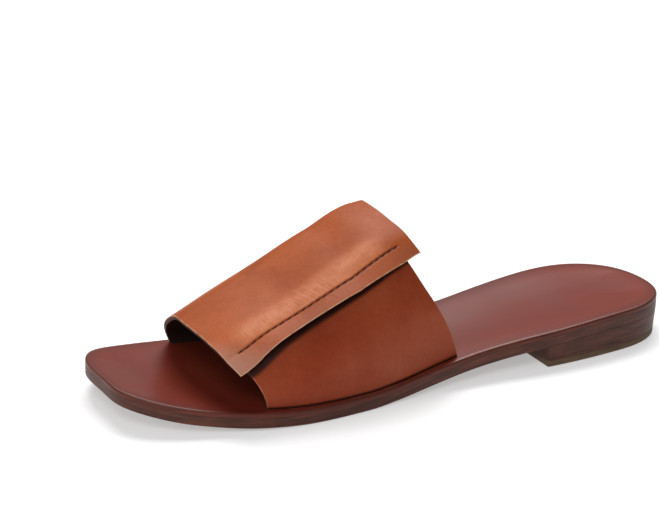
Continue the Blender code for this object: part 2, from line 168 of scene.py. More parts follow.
OUTLINE_CURVE = sole_outline()
TOE_INDEX = int(OUTLINE_CURVE[:, 0].argmax())
OUTER_SIDE = OUTLINE_CURVE[:TOE_INDEX + 1]
INNER_SIDE = np.vstack([OUTLINE_CURVE[TOE_INDEX:], OUTLINE_CURVE[:1]])[::-1]


def unit(vectors):
    """The same directions with a length of 1."""
    return vectors / np.linalg.norm(vectors, axis=-1, keepdims=True)


def chain_run(chain):
    """Length along a chain of points up to each of them."""
    return np.r_[0, np.cumsum(np.linalg.norm(np.diff(chain, axis=0), axis=1))]


def chain_at(where, run, chain):
    """Points of a chain, or directions kept at its points, at lengths along it."""
    return np.stack([np.interp(where, run, chain[:, k]) for k in range(chain.shape[1])], axis=-1)


def even_points(chain, count):
    """Points evenly spaced along a chain, its two ends kept."""
    run = chain_run(chain)
    return chain_at(np.linspace(0, run[-1], count), run, chain)


def side_width(x, side):
    """Y of the outline at x, on the side given."""
    return np.interp(x, side[:, 0], side[:, 1])


def underside(x):
    """Height of the sole's underside over the floor at x."""
    along = x / LENGTH + 0.5
    heel = smooth_rows(along, UNDERSIDE, "heel")
    toe = smooth_rows(along, UNDERSIDE, "toe")
    return heel * HEEL_RISE + toe * TOE_SPRING


def arch_point(turn, x):
    """Inner face of the strap at a turn round the foot and a place x along it.

    Each flank is a quarter of a superellipse from the base line to the ridge.
    """
    along = x / LENGTH + 0.5
    rise, ridge, outer_power, inner_power = [
        smooth_rows(along, ARCH, column) for column in ("rise", "ridge", "outer", "inner")]
    rise = rise * INSTEP_RISE
    ridge = ridge * BALL_WIDTH / 2
    rear = smooth_rows(0.0, STRAP_EDGES, "rear")
    front = smooth_rows(0.0, STRAP_EDGES, "front")
    place = np.clip((along - rear) / (front - rear), 0, 1)
    bow = INSET_BOW * ((2 * place - 1) ** 2 - 0.5)
    outer_base = side_width(x, OUTER_SIDE) - STRAP_INSET - STRAP_WALL - bow
    inner_base = side_width(x, INNER_SIDE) + STRAP_INSET + STRAP_WALL
    cosine = np.cos(math.pi * turn)
    on_outer = cosine > 0
    power = np.where(on_outer, outer_power, inner_power)
    base = np.where(on_outer, outer_base, inner_base)
    y = ridge + (base - ridge) * np.abs(cosine) ** (2 / power)
    lift = rise * np.clip(np.sin(math.pi * turn), 0, 1) ** (2 / power)
    return np.stack([x, y, underside(x) + SOLE_THICK + lift], axis=-1)


def strap_x(turn, front, overhang):
    """Place along the foot, from the rear edge (front 0) to the front edge (front 1)."""
    begin = (smooth_rows(turn, STRAP_EDGES, "rear") - 0.5) * LENGTH - overhang * REAR_OVERHANG
    end = (smooth_rows(turn, STRAP_EDGES, "front") - 0.5) * LENGTH + overhang * FRONT_OVERHANG
    return begin + (end - begin) * front


def ease(t):
    """0 up to t = 0 and 1 from t = 1, with a smooth rise between them."""
    t = np.clip(t, 0, 1)
    return t * t * (3 - 2 * t)


# Meshes


def put_mesh(name, points, faces, corners, marks, slots, materials, weld):
    """Object from points and quads, with a UV per corner, point attributes and material slots."""
    mesh = bpy.data.meshes.new(name)
    mesh.from_pydata(points.tolist(), [], faces.tolist())
    layer = mesh.uv_layers.new(name="millimetres")
    layer.data.foreach_set("uv", corners.astype(np.float32).ravel())
    for mark, values in marks.items():
        attribute = mesh.attributes.new(mark, "FLOAT", "POINT")
        attribute.data.foreach_set("value", values.astype(np.float32).ravel())
    for material in materials:
        mesh.materials.append(material)
    mesh.polygons.foreach_set("material_index", slots.astype(np.int32))
    shape = bmesh.new()
    shape.from_mesh(mesh)
    if weld:
        bmesh.ops.remove_doubles(shape, verts=shape.verts, dist=WELD)
    bmesh.ops.recalc_face_normals(shape, faces=shape.faces)
    shape.to_mesh(mesh)
    shape.free()
    mesh.shade_smooth()
    mesh.set_sharp_from_angle(angle=HARD_EDGE)
    piece = bpy.data.objects.new(name, mesh)
    bpy.context.scene.collection.objects.link(piece)
    return piece


def grid_quads(rows, columns, start=0):
    """Corner numbers of the quads between rows by columns points that are counted row by row."""
    i, j = np.meshgrid(np.arange(rows - 1), np.arange(columns - 1), indexing="ij")
    first = start + i * columns + j
    return np.stack([first, first + columns, first + columns + 1, first + 1], axis=-1).reshape(-1, 4)


def ring_quads(rings, sides):
    """Corner numbers of the quads round a tube, by ring and side, its points counted ring by ring."""
    i, j = np.meshgrid(np.arange(rings - 1), np.arange(sides), indexing="ij")
    k = (j + 1) % sides
    return np.stack([i * sides + j, i * sides + k, (i + 1) * sides + k, (i + 1) * sides + j], axis=-1)


def rim_of_grid(rows, columns):
    """Numbers of a grid's border points, once round."""
    index = np.arange(rows * columns).reshape(rows, columns)
    return np.concatenate([index[0, :-1], index[:-1, -1], index[-1, :0:-1], index[:0:-1, 0]])


WALL_RINGS = 3  # rings of points across a cut edge


def sheet_piece(name, top, bottom, across, along, marks, materials):
    """Closed sheet of leather from two grids of points and the straight cut wall between their rims.

    across and along are each point's place on the sheet in metres and become its UV in millimetres.
    """
    rows, columns = top.shape[:2]
    half = rows * columns
    rim = rim_of_grid(rows, columns)
    flat_top = top.reshape(-1, 3)
    flat_bottom = bottom.reshape(-1, 3)
    shares = np.linspace(0, 1, WALL_RINGS + 2)[1:-1, None, None]
    between = flat_top[rim] * (1 - shares) + flat_bottom[rim] * shares
    points = np.vstack([flat_top, flat_bottom, between.reshape(-1, 3)])
    rings = [rim] + [2 * half + k * len(rim) + np.arange(len(rim)) for k in range(WALL_RINGS)]
    rings.append(half + rim)
    wall = [np.stack([a, np.roll(a, -1), np.roll(b, -1), b], axis=1) for a, b in zip(rings, rings[1:])]
    faces = np.vstack([grid_quads(rows, columns), grid_quads(rows, columns, half)[:, ::-1], *wall])
    source = np.r_[:half, :half, np.tile(rim, WALL_RINGS)]
    place = np.stack([across.ravel(), along.ravel()], axis=1)[source] / MM
    spread = {mark: values.ravel()[source] for mark, values in marks.items()}
    count = (rows - 1) * (columns - 1)
    slots = np.r_[np.zeros(count), np.ones(count), np.full(len(faces) - 2 * count, 2)]
    return put_mesh(name, points, faces, place[faces].reshape(-1, 2), spread, slots, materials, False)


# Strap panels

EDGE_ROUND = 0.35 * MM  # rounding of a cut edge
BORDER = np.array([0, 0.06, 0.15, 0.26, 0.4, 0.62]) * MM  # rows that carry the rounding
BORDER_ROOM = 0.3 * MM  # between those rows and the next
STRAP_RUN = 100 * MM  # the strap's length along the foot, for placing what lies on it
PUCKER_ZONE = (0.30, 0.74)  # shares of it with the finest mesh
FINE_STEP = 0.36 * MM
COARSE_STEP = 0.85 * MM
SEAM_MIDDLE = 5.7 * MM  # from the flap's free edge to its stitches, halfway along
SEAM_SWING = 1.35 * MM  # how much farther off they are near both ends
SEAM_NEAREST = 0.45  # share of the flap's length where they are nearest
STITCH_GROOVE = 0.24 * MM
GROOVE_WIDE = 0.40 * MM
STITCH_FROM = 0.07
STITCH_TO = 0.948
SCENE_SKIVE = 0.5 * MM  # the flap's edge is skived by this much more than in the CAD


def stations():
    """Shares from the rear edge to the front edge: fine at both edges and where the leather puckers."""
    zone = np.array([0, *PUCKER_ZONE, 1]) * STRAP_RUN
    steps = [COARSE_STEP, FINE_STEP, COARSE_STEP]
    runs = [np.linspace(a, b, int((b - a) / step) + 1) for a, b, step in zip(zone, zone[1:], steps)]
    inside = np.unique(np.concatenate(runs))
    clear = BORDER[-1] + BORDER_ROOM
    inside = inside[(inside > clear) & (inside < STRAP_RUN - clear)]
    return np.concatenate([BORDER, inside, STRAP_RUN - BORDER[::-1]]) / STRAP_RUN


# Grid of points over a panel: inner face and its normals, height of the outer and the hidden side
# over that face, place across and along the panel, and what the materials read at each point
PanelGrid = namedtuple("PanelGrid", "face normal over under across along marks")
FRONTS = stations()
EDGE_SHARES = smooth_rows(FRONTS, FLAP, "girth")
FLAP_LIFTS = smooth_rows(FRONTS, FLAP, "lift") * FLAP_LIFT
SEAM = SEAM_MIDDLE + SEAM_SWING * ((FRONTS - SEAM_NEAREST) / SEAM_NEAREST) ** 2


def section_runs():
    """Turns, and for each station the arc length from the outer base to every one of them."""
    turn = np.linspace(0, 1, GIRTH_SAMPLES)
    line = arch_point(turn[:, None], strap_x(turn[:, None], FRONTS[None, :], 0.0))
    step = np.linalg.norm(np.diff(line, axis=0), axis=2)
    return turn, np.vstack([np.zeros(len(FRONTS)), np.cumsum(step, axis=0)])


TURNS, RUNS = section_runs()
GIRTHS = RUNS[-1]


def face_and_normal(run, overhang):
    """Inner face of the strap and its outward normal, for a grid of arc lengths by stations."""
    turn = np.stack([np.interp(run[:, j], RUNS[:, j], TURNS) for j in range(len(FRONTS))], axis=1)
    face = arch_point(turn, strap_x(turn, FRONTS[None, :], overhang))
    normal = np.cross(np.gradient(face, axis=0), np.gradient(face, axis=1))
    normal = normal * np.sign(run[-1, 0] - run[0, 0])
    normal[turn <= 0, 2] = 0
    normal[turn >= 1, 2] = 0
    return face, unit(normal)


def edge_drop(distance):
    """How far a rounded edge lies under the flat at a distance in from it: a quarter circle."""
    inside = np.clip(EDGE_ROUND - distance, 0, EDGE_ROUND)
    return EDGE_ROUND - np.sqrt(EDGE_ROUND ** 2 - inside ** 2)


def with_leg(values, down=0):
    """The grid with two more rows past its base edge, for the leg straight down into the insole."""
    return np.concatenate([values, values[-1:] - down / 2, values[-1:] - down])


# Puckers that the seam draws in the upper panel, and creases at the flap's front corner.
# place: mm from the strap's rear edge; near and far: mm from the flap's free edge; width and
# height in mm, a trough where the height is negative; slant: mm along per mm from the stitches
PUCKERS = table("place near far width height slant", [
    (39.4, 6.6, 12.5, 0.7, 0.07, 0.20), (42.1, 6.6, 17.0, 0.6, 0.11, 0.24),
    (43.9, 6.6, 14.0, 0.8, 0.13, 0.20), (46.0, 1.5, 18.5, 0.6, 0.15, 0.30),
    (47.5, 6.6, 15.0, 0.6, 0.12, 0.24), (49.6, 1.0, 18.0, 0.8, 0.16, 0.32),
    (51.1, 2.5, 13.5, 0.6, 0.13, 0.26), (53.3, 1.2, 19.0, 0.8, 0.15, 0.34),
    (55.8, 6.6, 15.5, 0.7, 0.12, 0.30), (57.5, 6.6, 18.0, 0.7, 0.10, 0.40),
    (60.6, 6.6, 14.0, 0.9, 0.09, 0.34), (64.0, 6.6, 16.5, 0.8, 0.07, 0.42),
    (68.5, 6.6, 13.0, 0.9, 0.05, 0.40), (73.0, 6.6, 12.0, 0.9, 0.04, 0.40),
    (88.6, 0.4, 7.0, 0.6, 0.10, 0.10), (90.3, 0.4, 8.5, 0.6, 0.16, 0.05),
    (91.9, 0.4, 6.5, 0.6, 0.14, 0.00), (93.6, 0.4, 9.0, 0.6, 0.20, 0.05),
    (95.3, 0.4, 7.5, 0.6, 0.15, 0.00), (97.0, 0.4, 8.0, 0.6, 0.12, 0.00),
])

PUCKER_SHARP = 2.5  # a pucker's height falls by exp(-2.5) over its width

# Broad soft hollows and swells of the strap. across and along: mm of the centre from the flap's
# edge and from the rear edge; the two reaches in mm; height in mm
SWELL_COLUMNS = "across along reach_across reach_along height"
UPPER_SWELLS = table(SWELL_COLUMNS, [
    (34, 52, 12, 34, -0.55), (60, 60, 16, 30, 0.35), (16, 22, 10, 18, 0.30), (3, 76, 6, 16, -0.35),
    (3, 44, 5, 10, 0.25), (20, 84, 12, 12, 0.30),
])
LOWER_SWELLS = table(SWELL_COLUMNS, [
    (-14, 62, 10, 22, 0.35), (-24, 34, 12, 20, -0.30), (-8, 86, 9, 12, -0.25),
])


def swells(across, along, rows):
    """Sum of soft round hills and hollows: each a Gaussian of its two reaches."""
    height = np.zeros(np.broadcast(across, along).shape)
    for row in rows:
        u = (across / MM - row.across) / row.reach_across
        v = (along / MM - row.along) / row.reach_along
        height = height + row.height * MM * np.exp(-u * u - v * v)
    return height


def puckers(across, along):
    """Sum of fine ridges across the seam: a Gaussian over its width, fading at both ends."""
    height = np.zeros(np.broadcast(across, along).shape)
    for row in PUCKERS:
        away = (across - SEAM) / MM
        line = along / MM - row.place - row.slant * away
        middle = (row.near + row.far) / 2
        half = (row.far - row.near) / 2
        fade = np.clip(1 - ((across / MM - middle) / half) ** 2, 0, 1)
        height = height + row.height * MM * fade * np.exp(-(line / row.width) ** 2 * PUCKER_SHARP)
    return height


# Spacing of the panels' grid rows, counted from the flap's edge over the foot
FLAP_ROWS = np.arange(BORDER[-1] + 0.5 * MM, SEAM_MIDDLE - 1.1 * MM, 0.55 * MM)
SEAM_ROWS = SEAM_MIDDLE + np.arange(-0.9, 0.91, 0.15) * MM
PUCKER_ROWS = np.arange(SEAM_MIDDLE + 1.4 * MM, 26 * MM, 0.7 * MM)
UPPER_REST = np.linspace(0, 1, 96)[1:]
LOWER_REST = np.linspace(0, 1, 84)[1:]
BASE_FADE = 12 * MM  # swells die out over this length above the insole
FLAP_FADE = 8 * MM  # and the lower panel's also towards the flap
UNDER_ROUND = 0.6  # rounding of the hidden side's edge, as a share of the outer side's
PANEL_GAP = 0.05 * MM  # between the two panels where they lie on each other
HIDDEN_WALL = 0.4 * MM  # the lower panel's skived end under the upper one
COVERED_FROM = 0.6  # where that skiving starts, as a share of the flap's width
FAR_MM = 99.0  # for a mark that doesn't apply to a panel
STITCH_END = 0.01  # shares over which the stitches' groove ends
WORKED_ENDS = (0.14, 0.12)  # and the marks that the sewing leaves


def upper_panel_grid():
    """The upper panel: from the flap's free edge over the foot to its leg in the inner slot.

    Its height over the strap's inner face is the lower panel's thickness, fading out past the flap,
    plus the flap's lift, which grows towards its free edge as a power of the distance from the seam.
    """
    fixed = np.concatenate([BORDER, FLAP_ROWS, SEAM_ROWS, PUCKER_ROWS])[:, None] * SEAM / SEAM_MIDDLE
    edge = EDGE_SHARES * GIRTHS
    start = edge + fixed[-1]
    run = np.vstack([edge + fixed, start + UPPER_REST[:, None] * (GIRTHS - start)])
    run[-1] = GIRTHS
    across = run - edge
    along = np.broadcast_to(FRONTS * STRAP_RUN, across.shape)
    face, normal = face_and_normal(run, 1.0)
    free = np.clip(1 - across / FLAP_WIDTH, 0, 1)
    rest = STRAP_WALL * (1 - ease((across - FLAP_WIDTH) / PANEL_FADE)) + free ** FLAP_CURL * FLAP_LIFTS
    shaped = swells(across, along, UPPER_SWELLS) * ease((GIRTHS - run) / BASE_FADE)
    relief = puckers(across, along)
    stitched = ease((FRONTS - STITCH_FROM) / STITCH_END) * ease((STITCH_TO - FRONTS) / STITCH_END)
    worked = ease((FRONTS - STITCH_FROM) / WORKED_ENDS[0]) * ease((STITCH_TO - FRONTS) / WORKED_ENDS[1])
    groove = STITCH_GROOVE * np.exp(-((across - SEAM) / GROOVE_WIDE) ** 2) * stitched
    end = np.minimum(along, STRAP_RUN - along)
    drop = np.minimum(edge_drop(np.minimum(across, end)), EDGE_ROUND)
    under = rest + shaped + drop * UNDER_ROUND + (FLAP_SKIVE + SCENE_SKIVE) * free ** 2
    over = rest + STRAP_WALL + shaped + relief - groove - drop
    marks = {"edge_mm": np.minimum(across, end) / MM, "corner_mm": (STRAP_RUN - along + across) / MM,
             "seam_mm": (across - SEAM) / MM, "sewn": np.broadcast_to(worked, across.shape),
             "under_flap_mm": np.full(across.shape, -FAR_MM), "base_mm": (GIRTHS - run) / MM}
    return PanelGrid(face, normal, over, under, across, along, marks)


def lower_panel_grid():
    """The lower panel: from its hidden, thinned end under the upper one to its leg in the outer slot."""
    edge = EDGE_SHARES * GIRTHS
    end = edge + FLAP_WIDTH + PANEL_FADE
    start = end - BORDER[-1]
    run = np.vstack([end - BORDER[:, None], start * (1 - LOWER_REST[:, None])])
    run[-1] = 0
    across = run - edge
    along = np.broadcast_to(FRONTS * STRAP_RUN, across.shape)
    face, normal = face_and_normal(run, 0.0)
    covered = ease((across - FLAP_WIDTH * COVERED_FROM) / PANEL_FADE)
    thick = STRAP_WALL - PANEL_GAP - covered * (STRAP_WALL - HIDDEN_WALL)
    shaped = swells(across, along, LOWER_SWELLS) * ease(run / BASE_FADE) * ease(-across / FLAP_FADE)
    ends = np.minimum(along, STRAP_RUN - along)
    drop = np.minimum(edge_drop(ends), EDGE_ROUND) * (1 - covered)
    far = np.full(across.shape, FAR_MM)
    marks = {"edge_mm": ends / MM, "corner_mm": far, "seam_mm": far, "sewn": np.zeros(across.shape),
             "under_flap_mm": across / MM, "base_mm": run / MM}
    over = thick + shaped - drop
    under = shaped + drop * UNDER_ROUND
    return PanelGrid(face, normal, over, under, across, along, marks)


def panel(name, grid, materials):
    """Panel of the strap from its grid, with the leg that stands in the insole's slot."""
    down = np.array([0, 0, INSOLE_THICK])
    top = with_leg(grid.face + grid.normal * grid.over[..., None], down)
    bottom = with_leg(grid.face + grid.normal * grid.under[..., None], down)
    marks = {mark: with_leg(values) for mark, values in grid.marks.items()}
    return sheet_piece(name, top, bottom, with_leg(grid.across), with_leg(grid.along), marks, materials)


# Stitches

THREAD_WIDE = 0.50 * MM
THREAD_HIGH = 0.36 * MM
STITCH_LENGTH = 3.5 * MM
STITCH_GAP = 0.14 * MM  # from a stitch's end to its hole's middle
STITCH_SLANT = 0.46 * MM  # each end lies this far to one side of the seam
THREAD_RISE = 0.10  # how far a stitch's middle is raised, as a share of THREAD_HIGH
THREAD_DIVE = 0.62  # and how much deeper its ends lie
BLUNT_END = 0.02  # least square of the tube's radius, as a share
WOBBLES = table("size pace", [(0.10 * MM, 2.4), (0.06 * MM, 5.1)])  # hand of the machine
STITCH_SIDES = 8
STITCH_RINGS = 9


def stitch_frame(grid):
    """Points and upward directions along the stitch line on top of the upper panel."""
    row = int(np.abs(grid.across[:, 0] - SEAM[0]).argmin())
    up = grid.normal[row]
    return grid.face[row] + up * grid.over[row][:, None], up


def stitching(name, grid, material):
    """Lockstitches: each a tube along the seam that swells in the middle and dives at both ends.

    At a share t of a stitch its radius is the root of 1 - (2t - 1)^4, its dive follows (2t - 1)^6,
    and it slants straight from one side of the seam to the other. Sums of sines vary its ends.
    """
    line, up = stitch_frame(grid)
    inside = (FRONTS >= STITCH_FROM) & (FRONTS <= STITCH_TO)
    line = line[inside]
    up = up[inside]
    run = chain_run(line)
    count = int(run[-1] / STITCH_LENGTH)
    number = np.arange(count)
    wobble = sum(row.size * np.sin(number * row.pace) for row in WOBBLES)
    begin = number * run[-1] / count + STITCH_GAP
    finish = (number + 1) * run[-1] / count - STITCH_GAP + wobble
    t = np.linspace(0, 1, STITCH_RINGS)
    where = begin[:, None] + (finish - begin)[:, None] * t
    centre = chain_at(where, run, line)
    lift = chain_at(where, run, up)
    side = np.cross(lift, unit(np.gradient(centre, axis=1)))
    swell = np.sqrt(np.clip(1 - (2 * t - 1) ** 4, BLUNT_END, 1))[None, :, None]
    dive = (THREAD_RISE - THREAD_DIVE * (2 * t - 1) ** 6)[None, :, None] * THREAD_HIGH
    slant = (STITCH_SLANT + wobble[:, None, None]) * (2 * t - 1)[None, :, None]
    centre = centre + lift * dive + side * slant
    angle = np.arange(STITCH_SIDES) * 2 * math.pi / STITCH_SIDES
    ring = side[:, :, None, :] * (np.cos(angle) * THREAD_WIDE / 2)[None, None, :, None]
    ring = ring + lift[:, :, None, :] * (np.sin(angle) * THREAD_HIGH / 2)[None, None, :, None]
    points = centre[:, :, None, :] + ring * swell[..., None]
    caps = [[first, first + a + 1, first + a + 2, first + a + 3]
            for first in (0, (STITCH_RINGS - 1) * STITCH_SIDES) for a in range(0, STITCH_SIDES - 2, 2)]
    one = np.vstack([ring_quads(STITCH_RINGS, STITCH_SIDES).reshape(-1, 4), caps])
    size = STITCH_RINGS * STITCH_SIDES
    faces = (one[None] + (np.arange(count) * size)[:, None, None]).reshape(-1, 4)
    flat = points.reshape(-1, 3)
    turns = np.broadcast_to(angle * THREAD_WIDE / 2, points.shape[:3]).reshape(-1)
    runs = np.broadcast_to(where[:, :, None], points.shape[:3]).reshape(-1)
    place = np.stack([turns, runs], axis=1) / MM
    corners = place[faces].reshape(-1, 2)
    return put_mesh(name, flat, faces, corners, {}, np.zeros(len(faces)), [material], False)


# Sole and heel

SIDE_POINTS = 330
HEEL_SIDE_POINTS = 150
BREAST_POINTS = 32
FILL_RINGS = 26
FILL_POWER = 0.9  # closer rings near the spine
UPPER_ROWS = 4  # rows at the end of a rim's table that count as the upper face

LAYER_GAP = 0.02 * MM  # between two layers of the sole, which are pressed and sanded flush

# Profile of a layer's edge, from its underside to its upper side.
# inset: mm in from the outline; share: of the layer's height; extra: mm added to that
RIM_COLUMNS = "inset share extra"
INSOLE_RIM = table(RIM_COLUMNS, [
    (3.0, 0, 0.0), (0.07, 0, 0.0), (0.02, 0, 0.02), (0.0, 0, 0.08), (0.0, 0, 0.5),
    (0.02, 1, -0.85), (0.09, 1, -0.6), (0.24, 1, -0.37), (0.46, 1, -0.19), (0.76, 1, -0.07),
    (1.2, 1, -0.015), (2.0, 1, 0.0), (3.0, 1, 0.0),
])
OUTSOLE_RIM = table(RIM_COLUMNS, [
    (3.0, 0, 0.0), (0.24, 0, 0.0), (0.12, 0, 0.02), (0.04, 0, 0.08), (0.01, 0, 0.18),
    (0.0, 0, 0.5), (0.0, 0.5, 0.0), (0.0, 1, -0.7), (0.0, 1, -0.08), (0.02, 1, -0.02),
    (0.07, 1, 0.0), (0.7, 1, 0.0), (3.0, 1, 0.0),
])
LIFT_RIM = table(RIM_COLUMNS, [
    (1.5, 0, 0.0), (0.08, 0, 0.0), (0.02, 0, 0.03), (0.0, 0, 0.1), (0.0, 0, 0.6), (0.0, 0.35, 0.0),
    (0.0, 0.7, 0.0), (0.0, 1, -0.5), (0.0, 1, -0.04), (0.01, 1, -0.01), (0.03, 1, 0.0),
    (1.5, 1, 0.0),
])
TOP_PIECE_RIM = table(RIM_COLUMNS, [
    (1.5, 0, 0.0), (0.6, 0, 0.0), (0.26, 0, 0.08), (0.07, 0, 0.28), (0.0, 0, 0.6), (0.0, 1, -0.5),
    (0.0, 1, -0.16), (0.04, 1, -0.05), (0.12, 1, 0.0), (1.5, 1, 0.0),
])


def closed_plan(outer, inner):
    """Both sides, of the same count and with shared ends, as one closed curve."""
    return np.vstack([outer, inner[-2:0:-1]])


def outward(plan):
    """Unit normals of a closed plan curve, pointing away from its middle."""
    along = np.roll(plan, -1, axis=0) - np.roll(plan, 1, axis=0)
    normal = unit(np.stack([along[:, 1], -along[:, 0]], axis=1))
    away = plan - plan.mean(axis=0)
    return normal * np.sign((normal * away).sum())


def plate(name, plan, rims, low, high, materials, draw_in=None, dish=None):
    """Layer of the sole: its edge profile carried round the plan, both faces filled to the spine.

    The spine holds the middle between each point of one side and its partner on the other side.
    low and high give the heights of the two faces, draw_in how far the plan shrinks at a share of
    the height, and dish the hollow of the upper face.
    """
    count = len(plan)
    partner = (-np.arange(count)) % count
    normal = outward(plan)
    insets, share, extra = np.array(rims, float).T
    fill = np.linspace(0, 1, FILL_RINGS + 1)[1:] ** FILL_POWER
    shape = np.stack([plan - normal * inset for inset in insets * MM])
    spine_low = (shape[0] + shape[0][partner]) / 2
    spine_high = (shape[-1] + shape[-1][partner]) / 2
    below = shape[0] + (spine_low - shape[0]) * fill[::-1, None, None]
    above = shape[-1] + (spine_high - shape[-1]) * fill[:, None, None]
    rings = np.concatenate([below, shape, above])
    zeros = np.zeros(FILL_RINGS)
    share = np.concatenate([zeros, share, zeros + 1])[:, None]
    extra = np.concatenate([zeros, extra * MM, zeros])[:, None]
    floor = low(rings)
    height = high(rings) - floor
    z = floor + height * share + extra
    to_rim = np.linalg.norm(rings - plan, axis=2)
    if dish:
        z = z + np.where(share == 1, dish(rings, to_rim), 0)
    if draw_in:
        rings = draw_in(rings, (z - floor) / height)
    points = np.concatenate([rings, z[..., None]], axis=-1)
    total = len(points)
    faces = ring_quads(total, count)
    run = chain_run(np.vstack([plan, plan[:1]]))
    rise = chain_run(points[:, 0])
    rise = rise - rise[FILL_RINGS]
    u = np.broadcast_to(np.stack([run[:-1], run[1:], run[1:], run[:-1]], axis=-1), faces.shape)
    v = np.stack([rise[:-1], rise[:-1], rise[1:], rise[1:]], axis=-1)[:, None]
    corners = np.stack([u, np.broadcast_to(v, faces.shape)], axis=-1) / MM
    top_from = FILL_RINGS + len(rims) - UPPER_ROWS
    slots = np.where(np.arange(total - 1) >= top_from, 0, 1)
    slots = np.repeat(slots, count) if len(materials) > 1 else np.zeros((total - 1) * count)
    marks = {"rim_mm": to_rim / MM}
    return put_mesh(name, points.reshape(-1, 3), faces.reshape(-1, 4), corners.reshape(-1, 2),
                    marks, slots, materials, True)


def sole_low(height):
    """Face that follows the underside of the sole, this much over it."""
    return lambda plan: underside(plan[..., 0]) + height


def flat_low(height):
    """Flat face at this height over the floor."""
    return lambda plan: np.full(plan.shape[:-1], height)


HEEL_BREAST = -LENGTH / 2 + HEEL_LENGTH
HEEL_MIDDLE = np.array([HEEL_BREAST, (OUTER_SIDE[0, 1] + side_width(HEEL_BREAST, OUTER_SIDE)
                                      + side_width(HEEL_BREAST, INNER_SIDE)) / 3])


def heel_draw(amount):
    """Plan drawn in towards the middle of the breast, fully at the floor and less higher up."""
    def draw(plan, share):
        away = plan - HEEL_MIDDLE
        full = np.linalg.norm(away, axis=-1).max()
        return plan - away / full * HEEL_TAPER * amount(share)[..., None]
    return draw


# Worn hollow of the insole, its places from the middle of the sole
INSOLE_BOWLS = table(SWELL_COLUMNS, [(-1, -88, 24, 40, -0.6), (-2, 75, 30, 40, -0.4)])
CUP_DEPTH = 0.85 * MM
CUP_REACH = 27 * MM  # from the rim in to the full depth of the cup
BOWL_REACH = 14 * MM  # and of the bowls
FLAT_RIM = 1.5 * MM  # strip along the rim that stays as it is


def footbed_dish(plan, to_rim):
    """Hollow of the insole: a cup that eases in from the rim, and bowls under heel and ball."""
    inside = np.minimum(to_rim, LENGTH / 2 - np.abs(plan[..., 0])) - FLAT_RIM
    bowls = swells(plan[..., 1], plan[..., 0], INSOLE_BOWLS)
    return bowls * ease(inside / BOWL_REACH) - CUP_DEPTH * ease(inside / CUP_REACH)


BREAST_ROUND = 0.5 * MM  # rounding of the breast's corners
BREAST_ROUND_MID = (0.15 * MM, 0.12 * MM)  # its middle point, back from the breast and inward


def heel_side(side):
    """The part of a side behind the breast and along it to its middle, its corner just rounded."""
    start_x = HEEL_BREAST - BREAST_ROUND
    behind = side[side[:, 0] < start_x]
    corner_y = side_width(HEEL_BREAST, side)
    inward = np.sign(HEEL_MIDDLE[1] - corner_y)
    corner = np.array([[start_x, side_width(start_x, side)],
                       [HEEL_BREAST - BREAST_ROUND_MID[0], corner_y + inward * BREAST_ROUND_MID[1]],
                       [HEEL_BREAST, corner_y + inward * BREAST_ROUND]])
    start = even_points(np.vstack([behind, corner]), HEEL_SIDE_POINTS)
    breast = np.linspace(corner[-1], [HEEL_BREAST, HEEL_MIDDLE[1]], BREAST_POINTS)[1:]
    return np.vstack([start, breast])


SLOT_ROOM = 0.5 * MM  # between the strap's leg and the slot it stands in


def open_slot(piece, grid):
    """Cut the slot that a panel's leg stands in: a tube round the leg, its thickness and room wide."""
    base = grid.face[-1]
    away = grid.normal[-1]
    inner = base + away * (grid.under[-1][:, None] - SLOT_ROOM)
    outer = base + away * (grid.over[-1][:, None] + SLOT_ROOM)
    ends = []
    for edge in (inner, outer):
        first = edge[0] + unit(edge[0] - edge[1]) * SLOT_ROOM
        last = edge[-1] + unit(edge[-1] - edge[-2]) * SLOT_ROOM
        ends.append(np.vstack([first, edge, last]))
    down = np.array([0, 0, 2 * INSOLE_THICK])
    corners = np.stack([ends[0] - down, ends[1] - down, ends[1] + down, ends[0] + down], axis=1)
    count = len(corners)
    far_cap = np.arange(4) + (count - 1) * 4
    faces = np.vstack([ring_quads(count, 4).reshape(-1, 4), [[3, 2, 1, 0]], [far_cap]])
    flat = corners.reshape(-1, 3)
    cut_side = np.ones(len(faces))
    cutter = put_mesh("slot cutter", flat, faces, np.zeros((faces.size, 2)), {}, cut_side, [], False)
    modifier = piece.modifiers.new("slot", "BOOLEAN")
    modifier.operation = "DIFFERENCE"
    modifier.solver = "EXACT"
    modifier.object = cutter
    seen = piece.evaluated_get(bpy.context.evaluated_depsgraph_get())
    opened = bpy.data.meshes.new_from_object(seen)
    piece.modifiers.clear()
    piece.data = opened
    opened.set_sharp_from_angle(angle=HARD_EDGE)
    bpy.data.objects.remove(cutter, do_unlink=True)


# Materials


def linear(hex_colour):
    """sRGB hex to the linear red, green, blue and alpha that shaders read."""
    value = np.array([int(hex_colour[i:i + 2], 16) for i in (1, 3, 5)]) / 255
    value = np.where(value <= 0.04045, value / 12.92, ((value + 0.055) / 1.055) ** 2.4)
    return (*value.tolist(), 1.0)


def feed(tree, node, inputs):
    """Fill sockets, by name or in their order: a value is set, the output of a node is linked."""
    for key, value in inputs.items() if isinstance(inputs, dict) else enumerate(inputs):
        if isinstance(value, bpy.types.NodeSocket):
            tree.links.new(value, node.inputs[key])
        else:
            node.inputs[key].default_value = value


def add(tree, kind, inputs=(), out=0, stops=(), **settings):
    """Shader node with its settings, values, links and colour stops; gives one of its outputs."""
    made = tree.nodes.new("ShaderNode" + kind)
    for name, value in settings.items():
        setattr(made, name, value)
    feed(tree, made, inputs)
    if stops:
        elements = made.color_ramp.elements
        while len(elements) < len(stops):
            elements.new(0.5)
        for element, (place, hex_colour) in zip(elements, stops):
            element.position = place
            element.color = linear(hex_colour)
    return made.outputs[out]


